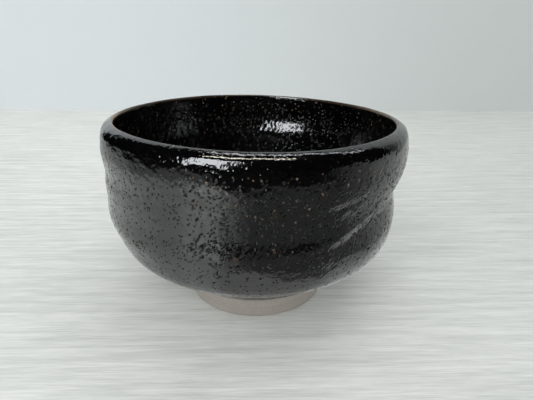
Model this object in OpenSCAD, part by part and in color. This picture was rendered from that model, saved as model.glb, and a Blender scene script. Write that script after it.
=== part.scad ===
// Black tea bowl, hand shaped, on a turned foot ring. Millimetres, +Z up.
// The origin is the centre of the circle that the bowl stands on, at table height.
// +X is the side pressed in by the thumb of the potter, and -Y is the side that faces the guest.

/* [Bowl] */
// Widest diameter over the glaze
bowl_d = 124; // [112:1:136]
// Height of the lip above the table
bowl_h = 79; // [72:1:88]
// Thickness of the clay wall at mid height
wall_t = 5.2; // [4:0.1:7]
// Thickness of the floor, above the hollow in the foot
floor_t = 7.8; // [6:0.1:9]
// Thickness of the glaze coat
glaze_t = 0.5; // [0.3:0.1:0.9]

/* [Foot] */
// Diameter of the foot where the body spreads out from it
foot_d = 65; // [58:1:68]
// Height of the foot on its outside
foot_h = 9; // [8:0.5:10]
// Height of the foot ring, which is also the depth of the hollow inside it
ring_h = 6; // [5:0.5:7]
// Width of the foot ring at the table
ring_w = 6.5; // [5:0.5:8]
// Height of the small swirl left in the middle of the hollow
swirl_h = 1.8; // [1:0.1:3]

/* [Hand shaping] */
// Depth of the broad hollow that a palm pressed into the right side
hollow_depth = 3.4; // [0:0.1:3.8]
// Height of the middle of that hollow
hollow_z = 50; // [44:1:56]
// Depth of the finger groove that climbs around the right side
groove_depth = 1.1; // [0:0.1:2]
// Height of the groove where it crosses the right side
groove_z = 62.5; // [58:0.5:66]
// How much higher the lip is at the left than at the middle
lip_tilt = 0.8; // [0:0.1:1.5]
// How far the lower edge of the glaze wanders up and down the wall
glaze_wander = 0.35; // [0:0.05:0.5]

/* [Hidden] */

$fn = 96;

// Colours of the bare clay, the black glaze and the glaze that ran thin over the lip
clay_colour = [0.74, 0.66, 0.58];
black_colour = [0.07, 0.07, 0.08];
lip_colour = [0.30, 0.18, 0.11];

// Radii that the outline is built from, all on the clay under the glaze
widest_r = bowl_d / 2 - glaze_t;
foot_r = foot_d / 2;
lip_r = widest_r - 4.1;
floor_z = ring_h + floor_t;

// The outline of the clay: up the outside, over the lip, and down the inside to the middle of the floor
outside_points = [
    [foot_r - 0.2, ring_h],
    [foot_r, foot_h],
    [foot_r + 0.18 * (widest_r - foot_r), foot_h + 0.076 * (bowl_h - foot_h)],
    [foot_r + 0.41 * (widest_r - foot_r), foot_h + 0.152 * (bowl_h - foot_h)],
    [foot_r + 0.665 * (widest_r - foot_r), foot_h + 0.231 * (bowl_h - foot_h)],
    [widest_r - 4.9, foot_h + 0.300 * (bowl_h - foot_h)],
    [widest_r - 1.8, foot_h + 0.393 * (bowl_h - foot_h)],
    [widest_r, foot_h + 0.500 * (bowl_h - foot_h)],
    [widest_r + 0.1, foot_h + 0.614 * (bowl_h - foot_h)],
    [widest_r - 0.6, foot_h + 0.729 * (bowl_h - foot_h)],
    [widest_r + 0.1, foot_h + 0.829 * (bowl_h - foot_h)],
    [widest_r - 0.3, foot_h + 0.914 * (bowl_h - foot_h)]
];
lip_points = [
    [widest_r - 1.4, bowl_h - 2.2],
    [lip_r, bowl_h - glaze_t],
    [lip_r - 0.5, bowl_h - 1.3]
];
inside_points = [
    [widest_r - wall_t + 0.5, bowl_h - 4],
    [widest_r - wall_t + 0.5, bowl_h - 11],
    [widest_r - wall_t - 0.1, bowl_h - 22],
    [widest_r - wall_t - 0.8, floor_z + 30.7],
    [widest_r - wall_t - 3.2, floor_z + 21.7],
    [widest_r - wall_t - 9.5, floor_z + 12.2],
    [0.62 * widest_r, floor_z + 6.7],
    [0.40 * widest_r, floor_z + 2.6],
    [0.18 * widest_r, floor_z + 0.4],
    [0, floor_z]
];
outline = concat(outside_points, lip_points, inside_points);

// Places along the outline, counted in outline points
glaze_line = 2;
lip_start = len(outside_points) + 0.6;
lip_end = lip_start + 1.9;
outline_end = len(outline) - 1;

// Numbers of mesh steps: around the bowl, and along each stretch of the outline
around = 72;
bare_steps = 4;
outside_steps = 24;
lip_steps = 3;
inside_steps = 14;
first_lip = bare_steps + outside_steps;
first_inside = first_lip + lip_steps;
last_step = first_inside + inside_steps;

// How far each hand mark reaches, in millimetres of height and degrees around.
// The groove has a steep upper side and a gentle lower side.
hollow_reach = 10.5;
groove_reach_up = 2.6;
groove_reach_down = 7;
groove_climb = 0.27;
groove_start = -66;
groove_end = -17;
lip_tilt_starts = 50;
// The inside follows the hand marks of the outside by this share
inside_share = 0.7;

// A point on the smooth curve through four neighbouring points, t of the way from b to c
function smooth(a, b, c, d, t) =
    0.5 * (2 * b + (c - a) * t + (2 * a - 5 * b + 4 * c - d) * t * t
        + (3 * b - a - 3 * c + d) * t * t * t);

// The outline's radius and height at place s
function outline_at(s) =
    let (
        last = outline_end,
        k = min(floor(s), last - 1)
    )
    smooth(outline[max(k - 1, 0)], outline[k], outline[k + 1], outline[min(k + 2, last)], s - k);

// The direction that points out of the clay at place s, as a unit vector
function out_of_clay(s) =
    let (
        step = 0.05,
        ahead = outline_at(min(s + step, outline_end)),
        behind = outline_at(max(s - step, 0)),
        along = ahead - behind
    )
    [along[1], -along[0]] / norm(along);

// A bell curve, 1 at its middle
function bell(x, reach) = exp(-pow(x / reach, 2));

// Rises from 0 to 1 as x passes 0, over about four times the softness
function step_up(x, softness) = 1 / (1 + exp(-x / softness));

// An angle brought between -180 and 180 degrees
function signed(angle) = angle > 180 ? angle - 360 : angle;

// How far the hands pushed the wall in, at an angle around the bowl and a height
function pressed(angle, z) =
    let (
        a = signed(angle),
        palm = hollow_depth * bell(z - hollow_z, hollow_reach) * (1 + cos(a)) / 2,
        fades = step_up(a - groove_start, 4) * step_up(groove_end - a, 7),
        over = z - groove_z - groove_climb * a,
        reach = over > 0 ? groove_reach_up : groove_reach_down,
        finger = groove_depth * bell(over, reach) * fades
    )
    palm + finger;

// How much the lip's tilt and slow wave lift a point
function lifted(angle, z) =
    let (share = max(0, (z - lip_tilt_starts) / (bowl_h - lip_tilt_starts)))
    share * (-lip_tilt * cos(angle) + 0.2 * cos(3 * angle + 40));

// The place on the outline of mesh step k, with the glaze line's wander at this angle
function place(k, angle) =
    let (
        wander = glaze_wander * (0.6 * sin(2 * angle + 30) + 0.4 * sin(5 * angle)),
        bare = glaze_line * k / bare_steps,
        outside = glaze_line + (lip_start - glaze_line) * (k - bare_steps) / outside_steps,
        lip = lip_start + (lip_end - lip_start) * (k - first_lip) / lip_steps,
        inside = lip_end + (outline_end - lip_end) * (k - first_inside) / inside_steps,
        s = k <= bare_steps ? bare : k <= first_lip ? outside : k <= first_inside ? lip : inside
    )
    s + wander * max(0, 1 - abs(s - glaze_line) / glaze_line);

// A point of the bowl's surface at mesh step k, lifted off the clay by the given thickness
function surface_point(k, angle, thickness) =
    let (
        s = place(k, angle),
        clay = outline_at(s),
        p = clay + thickness * out_of_clay(s),
        follows = k < first_lip ? 1 : inside_share,
        r = k == last_step ? 0 : p[0] - follows * pressed(angle, clay[1]),
        z = p[1] + lifted(angle, clay[1])
    )
    [r * cos(angle), r * sin(angle), z];

// One ring of surface points, all around the bowl
function ring(k, thickness) =
    [for (i = [0:around - 1]) surface_point(k, i * 360 / around, thickness)];

// One ring of points on the underside, which has no hand marks
function flat_ring(r, z) =
    [for (i = [0:around - 1]) [r * cos(i * 360 / around), r * sin(i * 360 / around), z]];

// Two triangles for each step around, between ring j and the ring after it
function band(j, next) = [
    for (i = [0:around - 1])
        let (
            a = j * around + i,
            b = j * around + (i + 1) % around,
            c = next * around + i,
            d = next * around + (i + 1) % around
        )
        each [[a, c, d], [a, d, b]]
];

// Triangles from a ring to a single point at its middle
function fan(j, tip, upward) = [
    for (i = [0:around - 1])
        let (
            a = j * around + i,
            b = j * around + (i + 1) % around
        )
        upward ? [a, tip, b] : [b, tip, a]
];

// A shell of glaze over mesh steps from first to last, which stops short of the floor's middle
module glaze_band(first, last) {
    steps = last - first;
    over = [for (k = [first:last]) each ring(k, glaze_t)];
    under = [for (k = [last:-1:first]) each ring(k, 0)];
    rings = 2 * (steps + 1);
    polyhedron(
        points = concat(over, under),
        faces = [for (j = [0:rings - 1]) each band(j, (j + 1) % rings)],
        convexity = 6
    );
}

module clay_body() {
    swirl_r = 4;
    hollow_r = foot_r - ring_w - 2.2;
    wall = [for (k = [0:last_step - 1]) each ring(k, 0)];
    underside = concat(
        flat_ring(swirl_r / 2, ring_h - swirl_h * 0.8),
        flat_ring(swirl_r, ring_h - swirl_h * 0.3),
        flat_ring(hollow_r * 0.6, ring_h - 0.2),
        flat_ring(hollow_r, ring_h)
    );
    under_rings = 4;
    rings = under_rings + last_step;
    floor_tip = rings * around;
    color(clay_colour)
        polyhedron(
            points = concat(underside, wall, [
                surface_point(last_step, 0, 0),
                [0, 0, ring_h - swirl_h]
            ]),
            faces = concat(
                [for (j = [0:rings - 2]) each band(j, j + 1)],
                fan(rings - 1, floor_tip, true),
                fan(0, floor_tip + 1, false)
            ),
            convexity = 6
        );
}

module foot_ring() {
    edge = 0.9;
    outer_r = foot_r - 1.1;
    inner_r = outer_r - ring_w;
    color(clay_colour)
        rotate_extrude()
            polygon([
                [inner_r - 1, ring_h],
                [inner_r - 0.4, 2.2],
                [inner_r + edge, 0],
                [outer_r - edge, 0],
                [outer_r, edge],
                [outer_r + 0.4, ring_h * 0.6],
                [foot_r - 0.2, ring_h]
            ]);
}

module outer_glaze() {
    color(black_colour) glaze_band(bare_steps, first_lip);
}

module lip_glaze() {
    color(lip_colour) glaze_band(first_lip, first_inside);
}

module inner_glaze() {
    steps = last_step - first_inside;
    over = [for (k = [first_inside:last_step - 1]) each ring(k, glaze_t)];
    under = [for (k = [last_step - 1:-1:first_inside]) each ring(k, 0)];
    rings = 2 * steps;
    over_tip = rings * around;
    color(black_colour)
        polyhedron(
            points = concat(over, under, [
                surface_point(last_step, 0, glaze_t),
                surface_point(last_step, 0, 0)
            ]),
            faces = concat(
                [for (j = [0:steps - 2]) each band(j, j + 1)],
                [for (j = [steps:rings - 2]) each band(j, j + 1)],
                band(rings - 1, 0),
                fan(steps - 1, over_tip, true),
                fan(steps, over_tip + 1, false)
            ),
            convexity = 6
        );
}

clay_body();
foot_ring();
outer_glaze();
lip_glaze();
inner_glaze();
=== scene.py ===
import math

import bpy
import numpy as np
from mathutils import Matrix, Vector


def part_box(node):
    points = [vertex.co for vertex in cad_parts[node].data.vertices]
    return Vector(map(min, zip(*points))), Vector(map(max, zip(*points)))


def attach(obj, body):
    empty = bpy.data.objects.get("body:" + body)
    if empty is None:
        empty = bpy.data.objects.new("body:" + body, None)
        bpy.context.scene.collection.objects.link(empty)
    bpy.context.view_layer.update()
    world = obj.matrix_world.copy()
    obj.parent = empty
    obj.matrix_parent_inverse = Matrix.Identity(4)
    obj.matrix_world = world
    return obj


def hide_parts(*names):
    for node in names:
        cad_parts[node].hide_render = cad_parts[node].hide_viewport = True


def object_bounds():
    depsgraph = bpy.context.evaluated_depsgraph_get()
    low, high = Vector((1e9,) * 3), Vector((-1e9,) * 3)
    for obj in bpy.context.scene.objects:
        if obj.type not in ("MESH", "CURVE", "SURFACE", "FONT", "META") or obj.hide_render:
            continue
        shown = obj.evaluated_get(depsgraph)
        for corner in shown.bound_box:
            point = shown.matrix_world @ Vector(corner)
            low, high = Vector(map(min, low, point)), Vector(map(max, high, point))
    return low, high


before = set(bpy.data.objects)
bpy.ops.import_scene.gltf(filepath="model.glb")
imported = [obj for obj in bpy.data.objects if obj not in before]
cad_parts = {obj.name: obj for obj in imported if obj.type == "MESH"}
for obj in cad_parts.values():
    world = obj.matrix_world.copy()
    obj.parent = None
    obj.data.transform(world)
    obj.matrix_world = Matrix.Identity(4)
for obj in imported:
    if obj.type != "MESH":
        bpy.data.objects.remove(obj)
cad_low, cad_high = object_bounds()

# The bowl's lengths are in millimetres, as designed, until they reach a mesh, and angles are in
# degrees. Angle 0 is the bowl's right side (+X), 90 its back and 270 its front.
# Materials, lights, panels and the camera are in metres.
MM = 0.001
SEED = 20

# ---------------------------------------------------------------------------
# Sizes. The design's own numbers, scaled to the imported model's width.

DESIGN_WIDTH = 124.13
SCALE = (cad_high.x - cad_low.x) / MM / DESIGN_WIDTH

BOWL_H = 79.0
WALL_T = 5.2
GLAZE_T = 0.5
RING_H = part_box("foot_ring")[1].z / MM / SCALE
FOOT_H = RING_H + 3.0
FOOT_R = 32.5
RING_W = 6.5
HOLLOW_R = FOOT_R - RING_W - 2.2
SWIRL_H = 1.8
WIDEST_R = 61.5
LIP_R = WIDEST_R - 4.1
FLOOR_Z = RING_H + 7.8
INSIDE_R = WIDEST_R - WALL_T

# The broad hollow that a palm pressed into the right side
PALM_DEPTH = 3.4
PALM_Z = 50
PALM_REACH = 10.5

# The finger groove, which climbs around the right side
GROOVE_DEPTH = 1.1
GROOVE_Z = 62.5
GROOVE_CLIMB = 0.27
GROOVE_REACH_UP = 2.6
GROOVE_REACH_DOWN = 7.0
GROOVE_START = -66
GROOVE_END = -17

LIP_TILT = 0.8
LIP_WAVE = 0.2
TILT_START_Z = 50
GLAZE_WANDER = 0.35
# How much of the outside's hand marks the lip's inner edge and the inside follow
INSIDE_FOLLOWS = 0.7


def between(start, end, share):
    return start + share * (end - start)


def outside_point(radius_share, height_share):
    """A point on the lower body, as shares of the way from the foot to the belly and to the lip."""
    return [between(FOOT_R, WIDEST_R, radius_share), between(FOOT_H, BOWL_H, height_share)]


OUTSIDE = [
    [FOOT_R - 0.2, RING_H],
    outside_point(0.00, 0.000),
    outside_point(0.18, 0.076),
    outside_point(0.41, 0.152),
    outside_point(0.665, 0.231),
    [WIDEST_R - 4.9, between(FOOT_H, BOWL_H, 0.300)],
    [WIDEST_R - 1.8, between(FOOT_H, BOWL_H, 0.393)],
    [WIDEST_R, between(FOOT_H, BOWL_H, 0.500)],
    [WIDEST_R + 0.1, between(FOOT_H, BOWL_H, 0.614)],
    [WIDEST_R - 0.6, between(FOOT_H, BOWL_H, 0.729)],
    [WIDEST_R + 0.1, between(FOOT_H, BOWL_H, 0.829)],
    [WIDEST_R - 0.3, between(FOOT_H, BOWL_H, 0.914)],
]
LIP = [
    [WIDEST_R - 1.4, BOWL_H - 2.2],
    [LIP_R, BOWL_H - GLAZE_T],
    [LIP_R - 0.5, BOWL_H - 1.3],
]
INSIDE = [
    [INSIDE_R + 0.5, BOWL_H - 4],
    [INSIDE_R + 0.5, BOWL_H - 11],
    [INSIDE_R - 0.1, BOWL_H - 22],
    [INSIDE_R - 0.8, FLOOR_Z + 30.7],
    [INSIDE_R - 3.2, FLOOR_Z + 21.7],
    [INSIDE_R - 9.5, FLOOR_Z + 12.2],
    [0.62 * WIDEST_R, FLOOR_Z + 6.7],
    [0.40 * WIDEST_R, FLOOR_Z + 2.6],
    [0.18 * WIDEST_R, FLOOR_Z + 0.4],
    [0, FLOOR_Z],
]
OUTLINE = np.array(OUTSIDE + LIP + INSIDE, float)
OUTLINE_END = len(OUTLINE) - 1

# Places along the outline, counted in its points
GLAZE_LINE = 2.0
LIP_START = len(OUTSIDE) + 0.6
CREST = len(OUTSIDE) + 1.0
LIP_END = LIP_START + 1.9

# Mesh steps
AROUND = 640
OUTER_ROWS = 140
LIP_ROWS = 14
INNER_ROWS = 110
SKIN_ROWS = 12
CLAY_AROUND = 320
HOLLOW_ROWS = 46
BARE_ROWS = 34
HIDDEN_ROWS = 60
FOOT_AROUND = 360
FOOT_ROWS = 90

# How far the coat sinks into the clay, so that its dents never reach the clay
UNDER_GLAZE = 0.55
# The deepest that any pit goes into the coat
DEEPEST_PIT = 0.34
# Inside this radius the inner coat's unevenness fades towards the middle of the floor
CALM_R = 45.0

# How many pits and blisters are scattered, apart from the crowds below
PITS_OUTSIDE = 2600
PITS_INSIDE = 1100
BLISTERS = 200
# How far a pit's raised rim reaches, in radii
RIM_REACH = 1.6

# Angle, height, spread and number of the places where the glaze boiled into crowded pits
CROWDS = [
    (230, 43, 3.0, 14),
    (254, 48, 4.0, 26),
    (263, 46, 4.0, 30),
    (260, 41, 3.5, 22),
    (262, 55, 5.0, 22),
    (254, 63, 4.5, 30),
    (275, 64, 6.0, 30),
    (60, 50, 6.0, 24),
    (150, 60, 6.0, 24),
    (110, 44, 5.0, 18),
]

# Angle, half width in degrees and depth of the nicks in the foot ring's outer edge
NICKS = [
    (205, 2.2, 0.35),
    (292, 1.4, 0.25),
    (33, 2.6, 0.30),
    (118, 1.6, 0.22),
]


# ---------------------------------------------------------------------------
# The bowl's shape, worked out as in the CAD source.

def bell(x, reach):
    return np.exp(-np.square(x / reach))


def step_up(x, softness):
    return 1 / (1 + np.exp(-x / softness))


def cos_deg(a):
    return np.cos(np.radians(a))


def sin_deg(a):
    return np.sin(np.radians(a))


def signed(a):
    return (a + 180) % 360 - 180


def beside(a, middle, reach):
    """A bell over the angles around middle."""
    return bell(signed(a - middle), reach)


def outline_at(s):
    """The clay outline's radius and height at places s, on a smooth curve through its points."""
    k = np.clip(np.floor(s).astype(int), 0, OUTLINE_END - 1)
    t = (s - k)[..., None]
    a = OUTLINE[np.maximum(k - 1, 0)]
    b = OUTLINE[k]
    c = OUTLINE[k + 1]
    d = OUTLINE[np.minimum(k + 2, OUTLINE_END)]
    return 0.5 * (
        2 * b + (c - a) * t + (2 * a - 5 * b + 4 * c - d) * t ** 2 + (3 * b - a - 3 * c + d) * t ** 3
    )


def out_of_clay(s):
    """Unit vectors, in radius and height, that point out of the clay at places s."""
    step = 0.05
    along = outline_at(np.minimum(s + step, OUTLINE_END)) - outline_at(np.maximum(s - step, 0))
    out = np.stack([along[..., 1], -along[..., 0]], -1)
    return out / np.linalg.norm(out, axis=-1, keepdims=True)


def groove_height(a):
    """The height of the finger groove's middle."""
    return GROOVE_Z + GROOVE_CLIMB * signed(a)


def groove_share(a):
    """Rises from 0 to 1 and falls again along the finger groove."""
    a = signed(a)
    return step_up(a - GROOVE_START, 4) * step_up(GROOVE_END - a, 7)


def pressed(a, z):
    """How far hands pushed the wall in: a palm's broad hollow and a climbing finger groove."""
    palm = PALM_DEPTH * bell(z - PALM_Z, PALM_REACH) * (1 + cos_deg(a)) / 2
    over = z - groove_height(a)
    reach = np.where(over > 0, GROOVE_REACH_UP, GROOVE_REACH_DOWN)
    finger = GROOVE_DEPTH * bell(over, reach) * groove_share(a)
    return palm + finger


def lifted(a, z):
    """How far the lip's tilt and slow wave lift a point."""
    share = np.maximum(0, (z - TILT_START_Z) / (BOWL_H - TILT_START_Z))
    return share * (-LIP_TILT * cos_deg(a) + LIP_WAVE * cos_deg(3 * a + 40))


def glaze_wander(a):
    return GLAZE_WANDER * (0.6 * sin_deg(2 * a + 30) + 0.4 * sin_deg(5 * a))


def wandered(s, a):
    """Places moved so that the glaze line wanders up and down, and nothing else does."""
    return s + glaze_wander(a) * np.maximum(0, 1 - np.abs(s - GLAZE_LINE) / GLAZE_LINE)


def surface(s, a, lift):
    """Points of the bowl in metres, lift millimetres out of the clay, at places s and angles a."""
    clay = outline_at(s)
    p = clay + lift[..., None] * out_of_clay(s)
    follows = np.where(s < LIP_START, 1.0, INSIDE_FOLLOWS)
    r = np.where(s >= OUTLINE_END, 0, p[..., 0] - follows * pressed(a, clay[..., 1]))
    z = p[..., 1] + lifted(a, clay[..., 1])
    return ring_points(r, a, z)


def ring_points(r, a, z):
    """Points in metres from radii, angles and heights."""
    return np.stack([r * cos_deg(a), r * sin_deg(a), z], -1) * MM * SCALE


def angles(count):
    return np.arange(count) * 360 / count


# ---------------------------------------------------------------------------
# The glaze's relief, in millimetres on the grid of places and angles.

def soft_noise(rng, shape, steps, up, around=None):
    """Seeded noise of about unit height, with bumps up and around millimetres across."""
    rows, cols = shape
    field = rng.standard_normal((2 * rows, cols))
    fy = np.fft.fftfreq(2 * rows)[:, None] / steps[0] * up
    fx = np.fft.fftfreq(cols)[None, :] / steps[1] * (around or up)
    f = np.hypot(fy, fx)
    smooth = np.fft.ifft2(np.fft.fft2(field) * np.exp(-np.square(f * 1.6))).real[:rows]
    return smooth / smooth.std()


class Relief:
    """The coat's thickness over one grid, with pits and blisters stamped into it."""

    def __init__(self, s, a):
        self.s, self.a = np.meshgrid(s, a, indexing="ij")
        self.s = wandered(self.s, self.a)
        clay = outline_at(s)
        self.z = clay[:, 1]
        self.r = np.maximum(clay[:, 0], 0.5)
        walk = np.linalg.norm(np.diff(clay, axis=0), axis=1)
        self.row_mm = np.append(walk, walk[-1])
        self.col_mm = self.r * 2 * math.pi / len(a)
        self.height = np.zeros_like(self.s)
        self.pit = np.zeros_like(self.s)

    def stamp(self, row, col, radius, depth, rim):
        """One round pit, or a blister where depth is negative."""
        rows, cols = self.height.shape
        up = int(radius * RIM_REACH / self.row_mm[row]) + 1
        side = min(int(radius * RIM_REACH / self.col_mm[row]) + 1, cols // 4)
        j = np.arange(max(0, row - up), min(rows, row + up + 1))
        i = np.arange(col - side, col + side + 1)
        d = np.hypot(
            ((j - row) * self.row_mm[row])[:, None],
            ((i - col) * self.col_mm[row])[None, :],
        ) / radius
        bowl = np.where(d < 1, np.square(1 - np.square(np.minimum(d, 1))), 0)
        edge = rim * bell(d - 1.1, 0.25)
        here = np.ix_(j, i % cols)
        self.height[here] += depth * (edge - bowl)
        if depth > 0:
            self.pit[here] = np.maximum(self.pit[here], bowl)

    def scatter(self, rng, count, density, radii, depths, rim=0.15):
        """Random pits, as dense as density(angle, height) says."""
        weight = density(self.a, self.z[:, None]) * (self.row_mm * self.col_mm)[:, None]
        total = np.cumsum(weight.ravel())
        picks = np.searchsorted(total, rng.random(count) * total[-1])
        sizes = rng.random((count, 2))
        for place, (u, v) in zip(picks, sizes):
            row, col = divmod(int(place), self.a.shape[1])
            self.stamp(row, col, between(*radii, u ** 2), between(*depths, v), rim)


def outside_density(a, z):
    """Pits crowd the shoulder and the middle of the wall, and thin out near the foot."""
    low = step_up(z - 27, 3.0)
    high = step_up(69.5 - z, 1.2)
    middle = 0.35 + 0.65 * step_up(z - 40, 5)
    uneven = 1 + 0.4 * sin_deg(2 * a + 60) * sin_deg(z * 5)
    right = 1 + 1.2 * beside(a, -42, 28) * step_up(z - 46, 4)
    return low * high * middle * uneven * right


def inside_density(a, z):
    """Pits crowd the upper wall, and are the same all the way round."""
    return step_up(74.5 - z, 0.8) * (0.12 + 0.88 * step_up(z - 56, 3)) + 0 * a


def crowd_density(angle, height, spread):
    """A round crowd of pits on the outside wall."""
    def density(a, z):
        across = (WIDEST_R + GLAZE_T) * np.radians(signed(a - angle))
        return bell(np.hypot(across, z - height), spread)
    return density


def thin_glaze(s, a):
    """Where the coat ran thin on the inner edge of the lip, from 0 to 1."""
    left = beside(a, 192, 24)
    middle = CREST + 0.56 - 0.16 * left + 0.05 * sin_deg(4 * a) + 0.04 * sin_deg(9 * a + 50)
    reach = 0.24 + 0.16 * left
    return bell(s - middle, reach) * (1 - 0.9 * beside(a, 88, 26))


def tan_share(a):
    """How pale the thin glaze is, from 0 for dark brown to 1 for tan, around the lip."""
    left = beside(a, 196, 20)
    front = 0.7 * beside(a, 235, 30)
    right = 0.45 * beside(a, 12, 16)
    return np.clip(left + front + right, 0, 1)


def tan_specks_and_glints(s, a, z):
    """Where small tan specks show, from 0 to 1: partly clay coming up through the glaze and partly
    painted warm glints.
    """
    shoulder = step_up(z - 57, 2) * step_up(74 - z, 1) * beside(a, -75, 38)
    front = 0.6 * bell(z - 48, 9) * beside(a, -83, 10)
    return np.where(s < LIP_START, np.maximum(shoulder, front), step_up(z - 60, 2))


def throwing_marks(s, a, z):
    """The shallow rings and facets that hands and spatula left, in millimetres."""
    wall = step_up(z - 32, 3) * step_up(70 - z, 2)
    rings = 0.20 * sin_deg((z - 0.03 * signed(a)) * 360 / 15.0 + 40)
    facets = 0.10 * sin_deg(7 * a + z * 3.5) + 0.07 * sin_deg(12 * a - z * 5 + 80)
    base = 0.035 * sin_deg(z * 360 / 2.1) * step_up(33 - z, 1.5) * step_up(z - 16, 1.5)
    ridge = 0.25 * bell(z - 57.5, 2.5) * beside(a, 200, 18)
    wave = 0.22 * sin_deg((z - 57) * 360 / 13.0) * step_up(68 - z, 2) * beside(a, 82, 38)
    dent = 0.45 * bell(z - 58.5, 4.5) * beside(a, 80, 10)
    outside = wall * (rings + facets) + base + ridge + groove_lip(a, z)
    return np.where(s < LIP_START, outside, wave + dent)


def groove_lip(a, z):
    """The soft ledge above the finger groove, a bead on it, and a faint second groove."""
    over = z - groove_height(a)
    ledge = 0.42 * step_up(over - 1.4, 0.8) * step_up(9 - over, 2.2)
    bead = 0.12 * bell(over - 3.6, 1.3)
    second = 0.18 * bell(z - 60 - 0.21 * signed(a + 64), 1.3) * beside(a, -64, 8)
    return (ledge + bead) * groove_share(a) - second


def above_glaze_line(s, a):
    """How far places s lie above the wandering glaze line, counted in outline points."""
    return s - wandered(np.full_like(s, GLAZE_LINE), a)


def starts_at(s, a):
    """Rises from 0 to 1 over the first millimetre above the glaze line."""
    return np.sqrt(np.clip(above_glaze_line(s, a) / 0.10, 0, 1))


def crinkle(s, a, z):
    """The height of the fine crinkles, which crowd the shoulder and one patch of the inside."""
    shoulder = 0.006 + 0.022 * bell(z - 66, 8) + 0.020 * bell(z - 61, 9) * beside(a, 203, 28)
    patch = 0.012 + 0.06 * bell(z - 62, 5) * beside(a, 80, 13)
    return np.where(s < LIP_START, shoulder, patch)


def brushed(s, a, z):
    """The height of the fine level streaks on the right side, where the potter wiped the wall."""
    return np.where(s < LIP_START, 0.018 * beside(a, -35, 40) * bell(z - 42, 16), 0)


def calm_places(relief):
    """How much of the unevenness is left: less on the lip and in the middle of the floor."""
    calm = np.where(np.abs(relief.s - CREST) < 1.3, 0.7, 1.0)
    towards_middle = np.clip(relief.r / CALM_R, 0, 1)[:, None] ** 2
    return np.where(relief.s > CREST, calm * towards_middle, calm)


def coat_thickness(relief, rng):
    """The coat's thickness in millimetres, with its unevenness but without the pits."""
    s, a = relief.s, relief.a
    z = np.broadcast_to(relief.z[:, None], s.shape)
    steps = (float(np.median(relief.row_mm)), float(np.median(relief.col_mm)))
    starts = starts_at(s, a)
    bead = 1 + 0.8 * bell(above_glaze_line(s, a) - 0.16, 0.16)
    peel = 0.020 * soft_noise(rng, s.shape, steps, 3.2) + 0.03 * soft_noise(rng, s.shape, steps, 9)
    peel += crinkle(s, a, z) * soft_noise(rng, s.shape, steps, 1.0)
    peel += brushed(s, a, z) * soft_noise(rng, s.shape, steps, 0.8, 5.0)
    return GLAZE_T * starts * bead + peel * calm_places(relief) * starts + throwing_marks(s, a, z)


# ---------------------------------------------------------------------------
# Mesh building

def new_piece(name, points, quads, material, tris=(), normals=None, **attributes):
    """A smooth mesh object from point, quad and triangle arrays."""
    mesh = bpy.data.meshes.new(name)
    quads = np.asarray(quads, np.int32).reshape(-1, 4)
    tris = np.asarray(tris, np.int32).reshape(-1, 3)
    mesh.vertices.add(len(points))
    mesh.vertices.foreach_set("co", np.asarray(points, np.float32).ravel())
    mesh.loops.add(quads.size + tris.size)
    mesh.loops.foreach_set("vertex_index", np.concatenate([quads.ravel(), tris.ravel()]))
    mesh.polygons.add(len(quads) + len(tris))
    starts = np.concatenate([
        np.arange(len(quads)) * 4,
        quads.size + np.arange(len(tris)) * 3,
    ]).astype(np.int32)
    mesh.polygons.foreach_set("loop_start", starts)
    mesh.update(calc_edges=True)
    mesh.validate()
    mesh.shade_smooth()
    for key, values in attributes.items():
        layer = mesh.attributes.new(key, "FLOAT", "POINT")
        layer.data.foreach_set("value", np.asarray(values, np.float32).ravel())
    if normals is not None:
        mesh.normals_split_custom_set_from_vertices(normals.astype(np.float32))
    mesh.materials.append(material)
    piece = bpy.data.objects.new(name, mesh)
    bpy.context.scene.collection.objects.link(piece)
    return piece


def band_quads(first, second, cols):
    """Quads between the rings that start at vertices first and second."""
    i = np.arange(cols)
    n = (i + 1) % cols
    return np.stack([first + i, first + n, second + n, second + i], -1)


def fan_tris(ring, tip, cols):
    """Triangles from the ring that starts at vertex ring to the vertex tip."""
    i = np.arange(cols)
    n = (i + 1) % cols
    return np.stack([ring + i, ring + n, np.full(cols, tip)], -1)


def grid_normals(p):
    """Unit normals of a grid of points that closes around its columns."""
    around = np.roll(p, -1, 1) - np.roll(p, 1, 1)
    along = np.gradient(p, axis=0)
    n = np.cross(around, along)
    return n / np.maximum(np.linalg.norm(n, axis=-1, keepdims=True), 1e-12)


def coat_attributes(relief, rows, kept, count):
    """Each vertex's share of pit, thin glaze, tan, and tan specks that are partly painted glints: 0
    on the skin against the clay.
    """
    s = relief.s[rows][:kept]
    a = relief.a[rows][:kept]
    z = np.broadcast_to(relief.z[rows][:kept, None], s.shape)
    shares = {
        "pit": relief.pit[rows][:kept],
        "thin": thin_glaze(s, a),
        "tan": tan_share(a),
        "specks_and_glints": tan_specks_and_glints(s, a, z),
    }
    attributes = {}
    for key, share in shares.items():
        attributes[key] = np.zeros(count)
        attributes[key][:s.size] = share.ravel()
    return attributes


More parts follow.
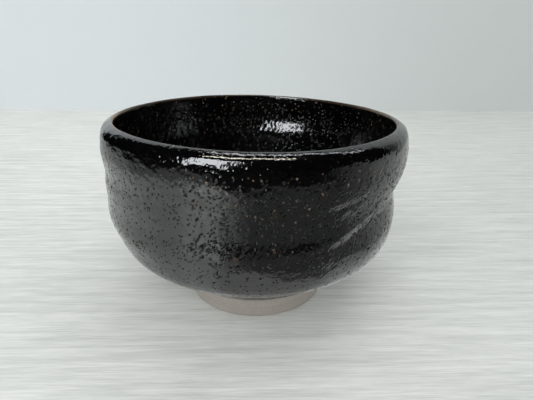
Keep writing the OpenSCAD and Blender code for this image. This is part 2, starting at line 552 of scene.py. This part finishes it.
def coat_piece(name, relief, points, normals, rows, material):
    """A closed shell of glaze: the detailed skin over rows, and a plain skin on the clay."""
    top = points[rows]
    top_n = normals[rows]
    under_rows = np.linspace(len(top) - 1, 0, SKIN_ROWS).round().astype(int)
    under_s = relief.s[rows][under_rows]
    under_a = relief.a[rows][under_rows]
    sunk = np.full_like(under_a, -UNDER_GLAZE) * starts_at(under_s, under_a)
    under = surface(under_s, under_a, sunk)
    closed = bool((under_s[0] >= OUTLINE_END - 1e-6).all())
    if closed:
        tips = [top[-1, 0], under[0, 0]]
        top, top_n, under = top[:-1], top_n[:-1], under[1:]
    under_n = -grid_normals(under[::-1])[::-1]
    rings = len(top) + len(under)
    cols = top.shape[1]
    points_all = np.concatenate([top.reshape(-1, 3), under.reshape(-1, 3)])
    normals_all = np.concatenate([top_n.reshape(-1, 3), under_n.reshape(-1, 3)])
    gap = len(top) - 1
    quads = [
        band_quads(j * cols, (j + 1) % rings * cols, cols)
        for j in range(rings)
        if not (closed and j == gap)
    ]
    tris = []
    if closed:
        tip = len(points_all)
        points_all = np.concatenate([points_all, tips])
        normals_all = np.concatenate([normals_all, [[0, 0, 1], [0, 0, -1]]])
        tris = np.concatenate([
            fan_tris(gap * cols, tip, cols),
            fan_tris((gap + 1) * cols, tip + 1, cols)[:, [1, 0, 2]],
        ])
    attributes = coat_attributes(relief, rows, len(top), len(points_all))
    quads = np.concatenate(quads)
    return new_piece(name, points_all, quads, material, tris, normals_all, **attributes)


# ---------------------------------------------------------------------------
# Materials

class Nodes:
    """A short way to write a node tree."""

    def __init__(self, name):
        self.material = bpy.data.materials.new(name)
        self.material.use_nodes = True
        self.tree = self.material.node_tree
        self.shader = self.tree.nodes["Principled BSDF"]

    def add(self, kind, inputs=None, **settings):
        node = self.tree.nodes.new(kind)
        for key, value in settings.items():
            setattr(node, key, value)
        for key, value in (inputs or {}).items():
            self.feed(node, key, value)
        return node

    def feed(self, node, key, value):
        if isinstance(value, bpy.types.NodeSocket):
            self.tree.links.new(value, node.inputs[key])
        else:
            node.inputs[key].default_value = value

    def math(self, operation, a, b=0.0, clamp=False):
        node = self.add("ShaderNodeMath", {0: a, 1: b}, operation=operation, use_clamp=clamp)
        return node.outputs[0]

    def times(self, first, *others):
        product = first
        for other in others:
            product = self.math("MULTIPLY", product, other)
        return product

    def plus(self, a, b):
        return self.math("ADD", a, b)

    def minus(self, a, b):
        return self.math("SUBTRACT", a, b)

    def ramp(self, value, low, high, to_low=0.0, to_high=1.0):
        inputs = {"Value": value, 1: low, 2: high, 3: to_low, 4: to_high}
        node = self.add("ShaderNodeMapRange", inputs, interpolation_type="SMOOTHSTEP")
        return node.outputs[0]

    def mix(self, share, a, b):
        node = self.add("ShaderNodeMix", data_type="RGBA")
        self.feed(node, 0, share)
        self.feed(node, 6, a)
        self.feed(node, 7, b)
        return node.outputs[2]

    def place(self, stretch=(1, 1, 1)):
        where = self.add("ShaderNodeTexCoord").outputs["Object"]
        return self.add("ShaderNodeMapping", {"Vector": where, "Scale": stretch}).outputs[0]

    def axes(self):
        """The x, y and z of each point, in metres."""
        return self.add("ShaderNodeSeparateXYZ", {0: self.place()}).outputs

    def noise(self, where, per_metre, detail=2.0, rough=0.5):
        inputs = {"Vector": where, "Scale": per_metre, "Detail": detail, "Roughness": rough}
        return self.add("ShaderNodeTexNoise", inputs).outputs["Fac"]

    def cells(self, where, per_metre):
        inputs = {"Vector": where, "Scale": per_metre}
        return self.add("ShaderNodeTexVoronoi", inputs)

    def attribute(self, name):
        return self.add("ShaderNodeAttribute", attribute_name=name).outputs["Fac"]

    def bump(self, height, distance):
        inputs = {"Height": height, "Distance": distance, "Strength": 1.0}
        return self.add("ShaderNodeBump", inputs).outputs[0]


def pinholes(n, where, per_metre, least, most, share):
    """Round pinholes, one at most in each cell: 1 at a hole's middle and 0 outside it."""
    cell = n.cells(where, per_metre)
    luck = n.add("ShaderNodeSeparateColor", {0: cell.outputs["Color"]})
    radius = n.ramp(luck.outputs[0], 1 - share, 1, least, most)
    present = n.math("GREATER_THAN", luck.outputs[0], 1 - share)
    inside = n.math("DIVIDE", cell.outputs["Distance"], radius)
    hole = n.ramp(inside, 0.0, 1.0, 1.0, 0.0)
    return n.times(hole, present)


def glaze_pinholes(n, where, pin_share, low_share):
    """The pinholes of the glaze: fewer on the lip, and low_share of them low on the wall."""
    patchy = n.ramp(n.noise(where, 70, 2), 0.38, 0.60, 0.6, 1.0)
    level = n.axes()[2]
    lip = n.ramp(level, 0.066, 0.073, 1.0, 0.3)
    low = n.ramp(level, 0.050, 0.062, low_share, 1.0)
    return n.times(pinholes(n, where, 680, 0.20, 0.40, pin_share), n.times(patchy, lip, low))


def glaze_colour(n, where, pit, thin, holes):
    """Black, rusty in some pits, with tan specks that are partly painted glints, and brown to tan
    where the coat is thin.
    """
    black = n.mix(n.noise(where, 35, 3), (0.0008, 0.0008, 0.001, 1), (0.0020, 0.0019, 0.0020, 1))
    rust = n.mix(n.noise(where, 300, 1), (0.006, 0.004, 0.003, 1), (0.11, 0.06, 0.035, 1))
    rusty = n.ramp(n.noise(where, 260, 1), 0.60, 0.72)
    deep = n.math("MAXIMUM", n.times(pit, 0.6), n.times(holes, 0.5))
    colour = n.mix(n.times(deep, rusty), black, rust)
    # Tan specks: partly clay showing through the glaze, partly painted warm glints.
    speck_glints = pinholes(n, where, 500, 0.14, 0.30, 0.75)
    speck_glints = n.times(speck_glints, n.attribute("specks_and_glints"), 0.8)
    colour = n.mix(speck_glints, colour, (0.30, 0.21, 0.14, 1))
    brown = n.mix(n.noise(where, 900, 3), (0.022, 0.014, 0.010, 1), (0.065, 0.042, 0.026, 1))
    tan = n.mix(n.noise(where, 700, 2), (0.22, 0.14, 0.09, 1), (0.36, 0.25, 0.17, 1))
    return n.mix(thin, colour, n.mix(n.attribute("tan"), brown, tan))


def glaze_material(name, pin_share, low_share):
    """Glossy black glaze with pits, pinholes and a soft skin of ripples, duller in the holes, with
    painted shade there: their reflection is turned down.
    """
    n = Nodes(name)
    where = n.place()
    pit = n.attribute("pit")
    thin = n.attribute("thin")
    holes = glaze_pinholes(n, where, pin_share, low_share)
    specks = pinholes(n, where, 1500, 0.2, 0.4, 0.3)
    rough = n.ramp(n.noise(where, 90, 3), 0.3, 0.7, 0.06, 0.10)
    rough = n.plus(rough, n.times(thin, 0.2))
    rough = n.math("ADD", rough, n.times(n.math("MAXIMUM", pit, holes), 0.7), clamp=True)
    # Painted shade: the reflection is turned down in pits and pinholes, standing in for the shade
    # inside them; the thin glaze mirrors less too.
    mirroring_and_pit_shade = n.ramp(n.math("MAXIMUM", n.times(pit, 0.5), holes), 0.12, 0.5, 0.5, 0.07)
    mirroring_and_pit_shade = n.times(mirroring_and_pit_shade, n.ramp(thin, 0.1, 0.9, 1.0, 0.22))
    skin = n.times(n.noise(where, 420, 3, 0.5), 0.75)
    skin = n.minus(skin, n.times(holes, 2.0))
    skin = n.minus(skin, n.times(specks, 0.10))
    n.feed(n.shader, "Base Color", glaze_colour(n, where, pit, thin, holes))
    n.feed(n.shader, "Roughness", rough)
    n.feed(n.shader, "IOR", 1.8)
    n.feed(n.shader, "Specular IOR Level", mirroring_and_pit_shade)
    n.feed(n.shader, "Normal", n.bump(skin, 0.00018))
    return n.material


def clay_material(name, lines_per_metre):
    """Bare fired clay: sandy, speckled and marked with level lines by the turning tool."""
    n = Nodes(name)
    where = n.place()
    broad = n.noise(where, 45, 4, 0.6)
    grain = n.noise(where, 1400, 3, 0.7)
    colour = n.mix(broad, (0.28, 0.255, 0.225, 1), (0.37, 0.34, 0.30, 1))
    colour = n.mix(n.ramp(grain, 0.35, 0.75, 0, 0.45), colour, (0.46, 0.43, 0.39, 1))
    grit = pinholes(n, where, 700, 0.10, 0.26, 0.10)
    colour = n.mix(n.times(grit, 0.75), colour, (0.10, 0.065, 0.045, 1))
    lines = n.noise(n.place((1, 1, 14)), lines_per_metre, 3, 0.6)
    height = n.plus(n.times(grain, 0.5), n.times(lines, 0.8))
    height = n.minus(height, n.times(grit, 0.6))
    n.feed(n.shader, "Base Color", colour)
    n.feed(n.shader, "Roughness", n.ramp(grain, 0.2, 0.8, 0.72, 0.92))
    n.feed(n.shader, "Normal", n.bump(height, 0.00022))
    return n.material


def board_colour_with_shade(n):
    """Pale painted wood with a faint grain along X, and painted shade that makes it a little darker
    to the right and in front.
    """
    grain = n.noise(n.place((5, 90, 90)), 3.2, 5, 0.62)
    fine = n.noise(n.place((14, 300, 300)), 5, 3, 0.65)
    share = n.ramp(n.plus(n.times(grain, 0.55), n.times(fine, 0.45)), 0.3, 0.7)
    colour = n.mix(share, (0.60, 0.62, 0.595, 1), (0.88, 0.895, 0.87, 1))
    x, y, _ = n.axes()
    # Painted shade: the colour is darkened towards the right and towards the front, where less light
    # falls on the board.
    right = n.ramp(x, 0.02, 0.24, 1.0, 0.86)
    front = n.ramp(y, 0.0, 0.30, 0.9, 1.0)
    return n.mix(n.times(right, front), (0, 0, 0, 1), colour)


def floor_material():
    n = Nodes("pale_board")
    # The board's colour carries painted shade, darker to the right and in front.
    n.feed(n.shader, "Base Color", board_colour_with_shade(n))
    n.feed(n.shader, "Roughness", 0.55)
    return n.material


def matt(n):
    """No gloss of its own, so that what the glaze mirrors stays soft."""
    n.feed(n.shader, "Roughness", 0.9)
    n.feed(n.shader, "Specular IOR Level", 0.0)


def near_shade(n, aside, out):
    """Painted shade on the mirrored board: full light close around the bowl, and painted shade in
    front of it further out.
    """
    front = n.ramp(aside, -22, 0, 1.0, 0.21)
    right = n.ramp(aside, 48, 112, 0.21, 1.0)
    starts = n.ramp(aside, -5, 20, 0.084, n.ramp(aside, 36, 58, 0.076, 0.100))
    ends = n.plus(starts, n.ramp(aside, 36, 66, 0.014, 0.050))
    return n.ramp(n.ramp(out, starts, ends), 0, 1, 1.0, n.math("MAXIMUM", front, right))


def painted_front_dark(n, aside, out):
    """Painted shade: the mirrored board is painted dark far out in front of the bowl, 1 where it
    stays lit and 0 where it is dark.
    """
    edge = n.plus(n.ramp(aside, -26, -18, 0.27, 0.19), n.ramp(aside, -4, 12, 0, 0.055))
    dark = n.ramp(n.minus(out, edge), -0.025, 0.025)
    return n.minus(1.0, n.times(dark, n.ramp(aside, -36, -28), n.ramp(aside, 46, 62, 1, 0)))


def painted_left_shade(n, aside, out):
    """Painted shade: the mirrored board dims by steps on the left, first a hand's breadth out and
    then at arm's length.
    """
    left = n.ramp(aside, -34, -28, n.ramp(aside, -96, -84, 0.69, 0.42), 1.0)
    far = n.ramp(aside, -34, -28, 0.06, 1.0)
    return n.times(n.ramp(out, 0.22, 0.28, 1.0, left), n.ramp(out, 0.5, 0.9, 1.0, far))


def painted_board_light(n, aside, out):
    """Painted light: a glow on the mirrored board, as a painted sheen in front on the left and a
    painted pool of light close to the bowl on the right.
    """
    painted_sheen = n.times(n.ramp(aside, -48, -34), n.ramp(aside, -24, -16, 1, 0))
    painted_sheen = n.times(painted_sheen, n.ramp(out, 0.13, 0.185, 0.3, 1.0), n.ramp(out, 0.23, 0.27, 1, 0))
    close = n.times(n.ramp(aside, 30, 52), n.ramp(out, 0.080, 0.104, 1, 0))
    return n.plus(n.times(painted_sheen, 0.62), n.times(close, 0.34))


def painted_mirrored_material():
    """The board as the glaze mirrors it, with painted shade by angle from the front and distance out,
    and a painted glow.
    """
    n = Nodes("painted_mirrored_board")
    x, y, _ = n.axes()
    aside = n.math("DEGREES", n.math("ARCTAN2", x, n.times(y, -1.0)))
    out = n.math("SQRT", n.plus(n.times(x, x), n.times(y, y)))
    lit = n.times(near_shade(n, aside, out), painted_front_dark(n, aside, out), painted_left_shade(n, aside, out))
    # Painted shade: the board's colour is mixed towards black wherever the painted shade falls.
    n.feed(n.shader, "Base Color", n.mix(lit, (0.015, 0.015, 0.016, 1), board_colour_with_shade(n)))
    # Painted light: the emission makes the mirrored board glow, though it is no lamp.
    n.feed(n.shader, "Emission Color", (0.95, 0.98, 1.0, 1))
    n.feed(n.shader, "Emission Strength", painted_board_light(n, aside, out))
    matt(n)
    return n.material


def wall_material(name, far_right_shade=1.0):
    """A pale wall with painted shade: a little darker towards the right, and dimmer still far to the
    right.
    """
    n = Nodes(name)
    x = n.axes()[0]
    # Painted shade: the colour darkens from left to right, and the far right can be dimmed further.
    colour = n.mix(n.ramp(x, -0.35, 0.45), (0.665, 0.70, 0.715, 1), (0.545, 0.575, 0.565, 1))
    dim = n.ramp(x, 0.45, 1.4, 1.0, far_right_shade)
    n.feed(n.shader, "Base Color", n.mix(dim, (0.0, 0.0, 0.0, 1), colour))
    matt(n)
    return n.material


# ---------------------------------------------------------------------------
# Pieces. Each is returned with the CAD node it replaces and the name of its material.

def glaze_places():
    """The grid's places along the outline: the outside, the lip and the inside."""
    return np.concatenate([
        np.linspace(GLAZE_LINE, LIP_START, OUTER_ROWS + 1)[:-1],
        np.linspace(LIP_START, LIP_END, LIP_ROWS + 1)[:-1],
        np.linspace(LIP_END, OUTLINE_END, INNER_ROWS + 1),
    ])


def pitted_relief(rng):
    """The coat's grid with its pits, crowds of pits and blisters."""
    relief = Relief(glaze_places(), angles(AROUND))
    outside = relief.s < LIP_START

    def on_outside(density):
        return lambda a, z: density(a, z) * outside

    def on_inside(density):
        return lambda a, z: density(a, z) * ~outside

    blister_radii = (0.7, 1.0)
    blister_depths = (-0.10, -0.04)
    relief.scatter(rng, PITS_OUTSIDE, on_outside(outside_density), (0.56, 0.75), (0.07, 0.16))
    relief.scatter(rng, BLISTERS, on_outside(outside_density), blister_radii, blister_depths, rim=0)
    for angle, height, spread, count in CROWDS:
        crowd = crowd_density(angle, height, spread)
        relief.scatter(rng, count, on_outside(crowd), (0.58, 0.85), (0.12, 0.22), rim=0.35)
    relief.scatter(rng, PITS_INSIDE, on_inside(inside_density), (0.60, 0.95), (0.08, 0.18))
    relief.scatter(rng, BLISTERS, on_inside(inside_density), blister_radii, blister_depths, rim=0)
    return relief


def make_glaze():
    """The three bands of the coat, cut from one surface so that their edges match."""
    rng = np.random.default_rng(SEED)
    relief = pitted_relief(rng)
    lift = coat_thickness(relief, rng) + np.maximum(relief.height, -DEEPEST_PIT)
    points = surface(relief.s, relief.a, lift)
    normals = grid_normals(points)
    outer = slice(0, OUTER_ROWS + 1)
    lip = slice(OUTER_ROWS, OUTER_ROWS + LIP_ROWS + 1)
    inner = slice(OUTER_ROWS + LIP_ROWS, len(points))
    bands = [
        ("glaze_outside", outer, "outer_glaze", "black_glaze", 0.9, 1.0),
        ("glaze_lip", lip, "lip_glaze", "thin_glaze", 0.15, 1.0),
        ("glaze_inside", inner, "inner_glaze", "inner_black_glaze", 0.7, 0.35),
    ]
    pieces = []
    for name, rows, node, slot, pin_share, low_share in bands:
        material = glaze_material(slot, pin_share, low_share)
        pieces.append((coat_piece(name, relief, points, normals, rows, material), node, slot))
    return pieces


def foot_hollow(a):
    """The roof of the foot's hollow, with a spiral tool mark and a swirl in its middle."""
    r = np.linspace(0.4, HOLLOW_R, HOLLOW_ROWS)[:, None]
    pitch = 2.6
    turn = r / pitch - a[None, :] / 360
    spiral = 0.112 * np.cos(2 * math.pi * turn) * step_up(HOLLOW_R - 1.2 - r, 0.3)
    sag = 0.2 * step_up(HOLLOW_R * 0.7 - r, 1.2) + SWIRL_H * bell(r, 2.6)
    return ring_points(r, a, np.minimum(RING_H - sag + spiral, RING_H))


def clay_wall(a):
    """The clay's own skin from the foot to the floor: tool lines where bare, sunk where glazed."""
    bare = np.linspace(0, GLAZE_LINE + 0.25, BARE_ROWS)
    hidden = np.linspace(GLAZE_LINE + 0.6, OUTLINE_END - 0.15, HIDDEN_ROWS)
    s, angle = np.meshgrid(np.concatenate([bare, hidden]), a, indexing="ij")
    s = wandered(s, angle)
    z = outline_at(s)[..., 1]
    turned = 0.05 * sin_deg(z * 360 / 1.7 + 12 * sin_deg(angle)) * step_up(17 - z, 1.5)
    seen = turned * (s < GLAZE_LINE - 0.3) * np.clip(s / 0.2, 0, 1)
    sunk = (UNDER_GLAZE + 0.1) * starts_at(s - 0.1, angle)
    return surface(s, angle, seen - sunk)


def make_clay():
    """The clay under the coat: its bare neck and underside show, and the rest is plain."""
    a = angles(CLAY_AROUND)
    rings = np.concatenate([foot_hollow(a), clay_wall(a)])
    swirl_top = (RING_H - SWIRL_H - 0.1) * MM * SCALE
    floor_middle = FLOOR_Z * MM * SCALE
    points = np.concatenate([rings.reshape(-1, 3), [[0, 0, swirl_top], [0, 0, floor_middle]]])
    starts = np.arange(len(rings)) * CLAY_AROUND
    quads = [band_quads(first, first + CLAY_AROUND, CLAY_AROUND) for first in starts[:-1]]
    tip = len(points) - 2
    tris = np.concatenate([
        fan_tris(0, tip, CLAY_AROUND)[:, [1, 0, 2]],
        fan_tris(starts[-1], tip + 1, CLAY_AROUND),
    ])
    material = clay_material("bare_clay", 60)
    piece = new_piece("clay", points, np.concatenate(quads), material, tris)
    return [(piece, "clay_body", "bare_clay")]


def foot_profile(t):
    """The foot ring's radii and heights, with softened corners, at places t of 0 to 12."""
    outer = FOOT_R - 1.1
    inner = outer - RING_W
    corners = np.array([
        [inner - 1.0, RING_H],
        [inner - 0.8, 4.6],
        [inner - 0.45, 2.4],
        [inner + 0.05, 0.9],
        [inner + 0.5, 0.25],
        [inner + 1.3, 0.0],
        [between(inner, outer, 0.5), 0.0],
        [outer - 1.2, 0.0],
        [outer - 0.4, 0.22],
        [outer, 0.9],
        [outer + 0.18, 2.2],
        [outer + 0.45, 4.2],
        [FOOT_R - 0.2, RING_H],
    ])
    profile = np.stack([np.interp(t, np.arange(len(corners)), corners[:, k]) for k in (0, 1)], -1)
    soft = profile.copy()
    soft[1:-1] = (profile[:-2] + 2 * profile[1:-1] + profile[2:]) / 4
    return soft[:, :1], soft[:, 1:]


def make_foot():
    """The foot ring, with soft edges, tool lines and a few nicks."""
    rng = np.random.default_rng(SEED + 1)
    a = angles(FOOT_AROUND)
    t = np.linspace(0, 12, FOOT_ROWS)[:, None]
    radii, heights = foot_profile(t[:, 0])
    r = np.tile(radii, FOOT_AROUND)
    z = np.tile(heights, FOOT_AROUND)
    side = (z > 0.5) & (z < RING_H - 0.2)
    outward = np.where(t > 7, 1, -1)
    lines = 0.05 * sin_deg(z * 360 / 1.3 + 25 * sin_deg(a * 2))
    rough = 0.03 * soft_noise(rng, r.shape, (0.35, 0.5), 1.6)
    r += side * outward * (lines + rough)
    nicks = sum(depth * beside(a[None, :], angle, width) for angle, width, depth in NICKS)
    r -= nicks * bell(t - 8.6, 0.8)
    points = ring_points(r, a, z).reshape(-1, 3)
    rings = len(t)
    quads = [
        band_quads(j * FOOT_AROUND, (j + 1) % rings * FOOT_AROUND, FOOT_AROUND)
        for j in range(rings)
    ]
    material = clay_material("foot_clay", 90)
    piece = new_piece("foot", points, np.concatenate(quads), material)
    return [(piece, "foot_ring", "foot_clay")]


# ---------------------------------------------------------------------------
# Stage, lights and camera

CAMERA_PLACE = (0, -0.1682, 0.1103)
CAMERA_DOWN = 22.6
CAMERA_ASIDE = 1.60
CAMERA_ROLL = 0.5
SENSOR_MM = 36
LENS_MM = 27.0

# Where the lights point, about the middle of the bowl
TARGET = Vector((0, 0, 0.05))
CEILING = 1.25

# How far the board and the wall reach, and how far behind the bowl the wall stands
REACH = 3.0
WALL_Y = 0.46
# How far the mirrored panels stand in front of the real ones
PANEL_GAP = 0.0003


def direction(azimuth, elevation):
    """A unit vector. Azimuth 0 is towards the camera and 90 is to its right."""
    a = math.radians(azimuth)
    e = math.radians(elevation)
    return Vector((math.sin(a) * math.cos(e), -math.cos(a) * math.cos(e), math.sin(e)))


def facing(place, target):
    """A matrix at place whose -Z axis points at target."""
    back = (place - target).normalized()
    right = Vector((0, 0, 1)).cross(back).normalized()
    return Matrix.Translation(place) @ Matrix((right, back.cross(right), back)).transposed().to_4x4()


def area_light(name, width, height, radiance, colour):
    lamp = bpy.data.lights.new(name, "AREA")
    lamp.shape = "RECTANGLE"
    lamp.size = width
    lamp.size_y = height
    lamp.energy = radiance * math.pi * width * height
    lamp.color = colour
    light = bpy.data.objects.new(name, lamp)
    bpy.context.scene.collection.objects.link(light)
    return light


def soft_light(name, azimuth, elevation, distance, width, height, radiance, colour=(1, 1, 1)):
    """A rectangular light that points at the bowl."""
    light = area_light(name, width, height, radiance, colour)
    light.matrix_world = facing(TARGET + direction(azimuth, elevation) * distance, TARGET)
    return light


def ceiling_strip(name, x, y, length, width, radiance, colour):
    """A light strip along X, above the bowl and facing down."""
    light = area_light(name, length, width, radiance, colour)
    light.matrix_world = Matrix.Translation((x, y, CEILING))
    return light


def stage_panel(name, corners, material):
    mesh = bpy.data.meshes.new(name)
    mesh.from_pydata([Vector(c) for c in corners], [], [(0, 1, 2, 3)])
    mesh.materials.append(material)
    panel = bpy.data.objects.new(name, mesh)
    bpy.context.scene.collection.objects.link(panel)
    return panel


def flat_panel(name, back, z, material):
    """A level panel all around the bowl, as far as back behind it."""
    corners = [(-REACH, -REACH, z), (REACH, -REACH, z), (REACH, back, z), (-REACH, back, z)]
    return stage_panel(name, corners, material)


def standing_panel(name, left, right, y, height, material):
    """An upright panel behind the bowl."""
    corners = [(left, y, 0), (right, y, 0), (right, y, height), (left, y, height)]
    return stage_panel(name, corners, material)


def make_stage():
    """The board and the wall, both with painted shade, and a second board and wall that only the
    glaze sees, with painted shade and a painted glow.
    """
    floor = flat_panel("floor", REACH, 0, floor_material())
    # The wall's colour carries painted shade, darker towards the right.
    backdrop = standing_panel("backdrop", -REACH, REACH, WALL_Y, REACH, wall_material("pale_wall"))
    for panel in (floor, backdrop):
        panel.visible_glossy = False
    # Painted shade and light: the second board and wall carry painted shade, and the board a painted
    # glow, for the glaze to mirror.
    board = flat_panel("painted_mirrored_board", WALL_Y, PANEL_GAP, painted_mirrored_material())
    mirrored_wall_paint_with_shade = wall_material("painted_mirrored_wall", 0.25)
    wall = standing_panel("painted_mirrored_wall", -0.50, 1.60, WALL_Y - PANEL_GAP, 0.80, mirrored_wall_paint_with_shade)
    for panel in (board, wall):
        panel.visible_camera = False
        panel.visible_diffuse = False
        panel.visible_shadow = False


def make_world():
    """An even soft room that the glaze doesn't mirror."""
    world = bpy.data.worlds.new("soft_room")
    world.use_nodes = True
    sky = world.node_tree.nodes["Background"]
    sky.inputs["Color"].default_value = (0.98, 0.99, 1.0, 1)
    sky.inputs["Strength"].default_value = 0.74
    bpy.context.scene.world = world
    world.cycles_visibility.glossy = False


def make_lights():
    """Two soft lights on the bowl, and a window and ceiling strips that only the glaze sees."""
    for light in (
        soft_light("overhead", 165, 70, distance=1.5, width=1.8, height=1.1, radiance=1.7),
        soft_light("fill", -22, 38, distance=1.6, width=2.0, height=1.2, radiance=2.0),
    ):
        light.visible_glossy = False
    cool = (0.93, 0.96, 1.0)
    warm = (1.0, 0.94, 0.80)
    for light in (
        soft_light("window", -33.5, 31, 1.3, width=0.62, height=0.98, radiance=7.5, colour=cool),
        ceiling_strip("strip_back", 0.41, 0.49, length=1.52, width=0.12, radiance=4.6, colour=cool),
        ceiling_strip("strip_top", -0.03, -0.15, length=0.88, width=0.15, radiance=11.0, colour=warm),
    ):
        light.visible_diffuse = False


def make_camera():
    """The camera a hand's breadth in front of the bowl, looking down into it."""
    roll = math.radians(CAMERA_ROLL)
    forward = direction(180 - CAMERA_ASIDE, -CAMERA_DOWN)
    right = forward.cross(Vector((0, 0, 1))).normalized()
    up = right.cross(forward)
    x = right * math.cos(roll) + up * math.sin(roll)
    y = up * math.cos(roll) - right * math.sin(roll)
    data = bpy.data.cameras.new("camera")
    data.sensor_width = SENSOR_MM
    data.lens = LENS_MM
    data.clip_start = 0.01
    camera = bpy.data.objects.new("camera", data)
    axes = Matrix((x, y, -forward)).transposed().to_4x4()
    camera.matrix_world = Matrix.Translation(CAMERA_PLACE) @ axes
    bpy.context.scene.collection.objects.link(camera)
    bpy.context.scene.camera = camera


# ---------------------------------------------------------------------------

for piece, node, finish in make_clay() + make_foot() + make_glaze():
    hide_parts(node)
    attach(piece, "root")

make_stage()
make_world()
make_lights()
make_camera()
bpy.context.scene.view_settings.view_transform = "Standard"
bpy.context.scene.view_settings.look = "None"
